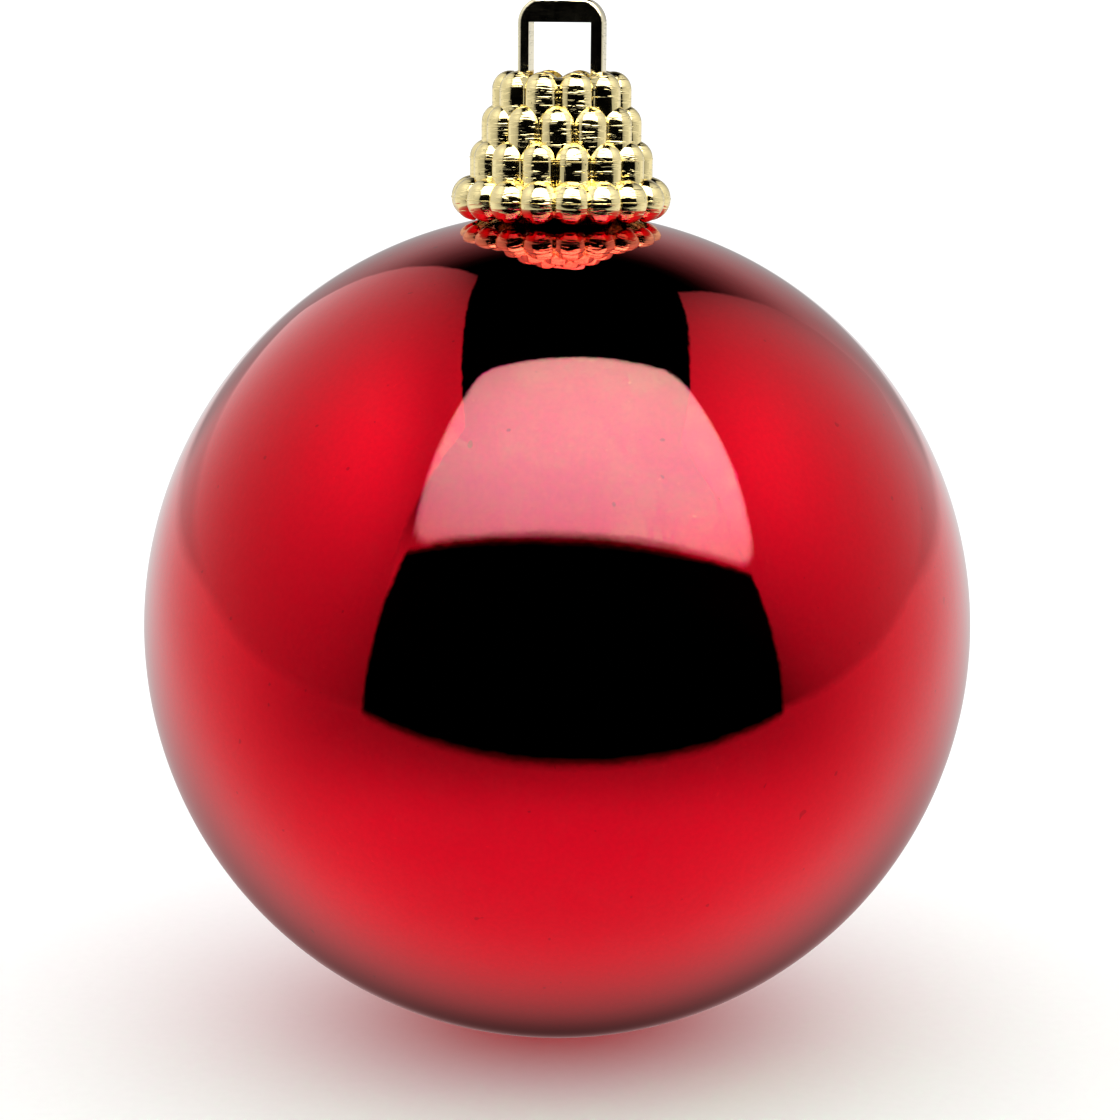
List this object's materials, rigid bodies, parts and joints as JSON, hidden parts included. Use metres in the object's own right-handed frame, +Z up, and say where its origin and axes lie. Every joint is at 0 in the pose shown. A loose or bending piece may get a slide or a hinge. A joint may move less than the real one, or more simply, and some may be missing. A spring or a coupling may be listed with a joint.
{
  "type": "ball ornament",
  "caption": "Blown glass ball with a mirror-bright red finish, a tiered gold crown cap on its neck and a flat-faced gold hanging loop.",
  "frame": {"origin": "the hanging eye: the middle of the underside of the loop's top bar, where a hook or cord bears", "axes": "+Z up along the ball's axis; the loop lies in the XZ plane, so a hook passes through it along Y"},
  "size_m": [0.08, 0.08, 0.1001],
  "materials": {
    "red_silvered_glass": "clear red lacquer outside, silvered inside, mirror gloss",
    "gold_plated_crown": "vacuum-plated pale gold, mirror gloss",
    "gold_plated_loop": "vacuum-plated pale gold, gloss"
  },
  "bodies": {
    "hanger": {"hanger_loop": "gold_plated_loop"},
    "crown": {"crown_cap": "gold_plated_crown"},
    "ball": {"glass_ball": "red_silvered_glass"}
  },
  "joints": [
    {"name": "hanger_pull", "type": "slide", "parent": "hanger", "child": "crown", "axis": [0, 0, -1], "range_m": [0, 0.01]},
    {"name": "ball_turn", "type": "hinge", "parent": "crown", "child": "ball", "pos_m": [0, 0, -0.012], "axis": [0, 0, 1], "continuous": true}
  ]
}
